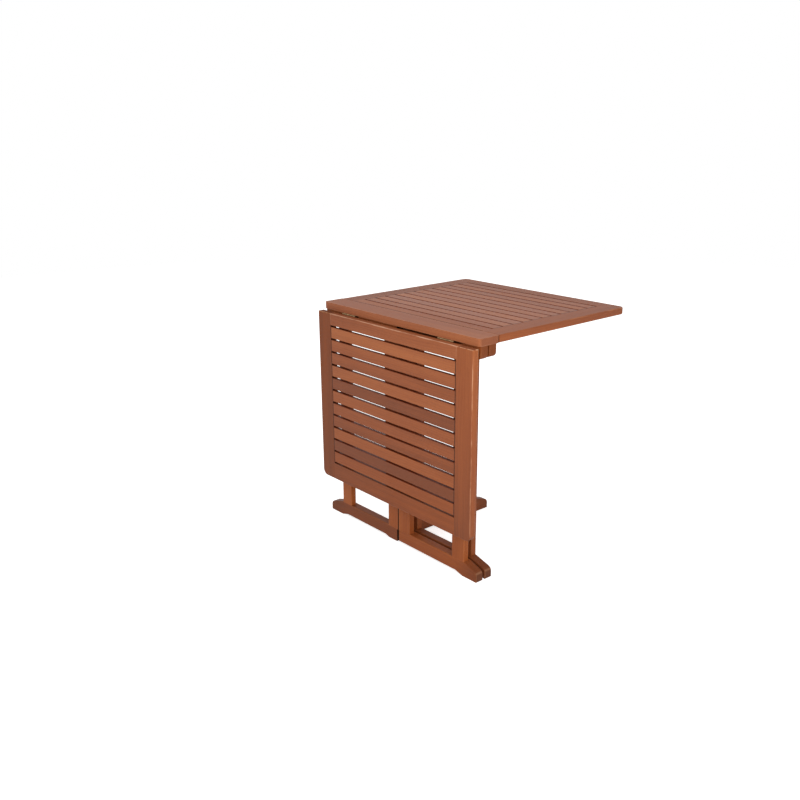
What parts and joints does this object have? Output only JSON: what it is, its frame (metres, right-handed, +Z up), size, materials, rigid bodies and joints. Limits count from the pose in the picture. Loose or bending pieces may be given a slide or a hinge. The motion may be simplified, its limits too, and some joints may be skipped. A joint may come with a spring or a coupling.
{
  "type": "gateleg drop-leaf outdoor dining table",
  "caption": "Slatted hardwood garden table: drop leaves hang from a narrow centre board on brass hinges and are held level by gates that swing out from the base frames.",
  "frame": {"origin": "on the floor, under the middle of the table's overall box as it stands at rest: front leaf hanging, rear leaf raised on its gate", "axes": "+Z up, +X along the hinge lines to the right as seen from the hanging leaf's side, +Y from the hanging leaf towards the raised one"},
  "size_m": [0.698, 0.66, 0.724],
  "materials": {
    "top_timber": "oiled hardwood, satin",
    "slat_timber": "oiled hardwood, satin",
    "frame_timber": "oiled hardwood, satin",
    "brass": "dull pressed brass"
  },
  "bodies": {
    "base": {"centre_board": "top_timber", "front_frame_top_rail": "frame_timber", "front_frame_foot_rail": "frame_timber", "front_frame_outer_upright": "frame_timber", "front_frame_inner_upright": "frame_timber", "rear_frame_top_rail": "frame_timber", "rear_frame_foot_rail": "frame_timber", "rear_frame_outer_upright": "frame_timber", "rear_frame_inner_upright": "frame_timber", "leaf_hinge_board_plates": "brass", "gate_hinge_frame_plates": "brass", "hinge_pins": "brass", "board_hinge_screws": "brass"},
    "front_leaf": {"front_leaf_left_stile": "top_timber", "front_leaf_right_stile": "top_timber", "front_leaf_inner_rail": "top_timber", "front_leaf_outer_rail": "top_timber", "front_leaf_batten": "slat_timber", "front_leaf_slat_1": "slat_timber", "front_leaf_slat_2": "slat_timber", "front_leaf_slat_3": "slat_timber", "front_leaf_slat_4": "slat_timber", "front_leaf_slat_5": "slat_timber", "front_leaf_slat_6": "slat_timber", "front_leaf_slat_7": "slat_timber", "front_leaf_slat_8": "slat_timber", "front_leaf_slat_9": "slat_timber", "front_leaf_slat_10": "slat_timber", "front_leaf_slat_11": "slat_timber", "front_leaf_hinge_plates": "brass", "front_leaf_hinge_screws": "brass"},
    "rear_leaf": {"rear_leaf_left_stile": "top_timber", "rear_leaf_right_stile": "top_timber", "rear_leaf_inner_rail": "top_timber", "rear_leaf_outer_rail": "top_timber", "rear_leaf_batten": "slat_timber", "rear_leaf_slat_1": "slat_timber", "rear_leaf_slat_2": "slat_timber", "rear_leaf_slat_3": "slat_timber", "rear_leaf_slat_4": "slat_timber", "rear_leaf_slat_5": "slat_timber", "rear_leaf_slat_6": "slat_timber", "rear_leaf_slat_7": "slat_timber", "rear_leaf_slat_8": "slat_timber", "rear_leaf_slat_9": "slat_timber", "rear_leaf_slat_10": "slat_timber", "rear_leaf_slat_11": "slat_timber", "rear_leaf_hinge_plates": "brass", "rear_leaf_hinge_screws": "brass"},
    "front_gate": {"front_gate_top_rail": "frame_timber", "front_gate_foot_rail": "frame_timber", "front_gate_outer_upright": "frame_timber", "front_gate_hinge_upright": "frame_timber", "front_gate_hinge_plates": "brass"},
    "rear_gate": {"rear_gate_top_rail": "frame_timber", "rear_gate_foot_rail": "frame_timber", "rear_gate_outer_upright": "frame_timber", "rear_gate_hinge_upright": "frame_timber", "rear_gate_hinge_plates": "brass"}
  },
  "joints": [
    {"name": "front_leaf_hinge", "type": "hinge", "parent": "base", "child": "front_leaf", "pos_m": [0, -0.305, 0.699], "axis": [-1, 0, 0], "range_deg": [0, 94]},
    {"name": "rear_leaf_hinge", "type": "hinge", "parent": "base", "child": "rear_leaf", "pos_m": [0, -0.231, 0.699], "axis": [1, 0, 0], "range_deg": [0, 4]},
    {"name": "front_gate_hinge", "type": "hinge", "parent": "base", "child": "front_gate", "pos_m": [0.0035, -0.2995, 0], "axis": [0, 0, -1], "range_deg": [0, 1.2]},
    {"name": "rear_gate_hinge", "type": "hinge", "parent": "base", "child": "rear_gate", "pos_m": [-0.0035, -0.2365, 0], "axis": [0, 0, 1], "range_deg": [0, 90]}
  ]
}
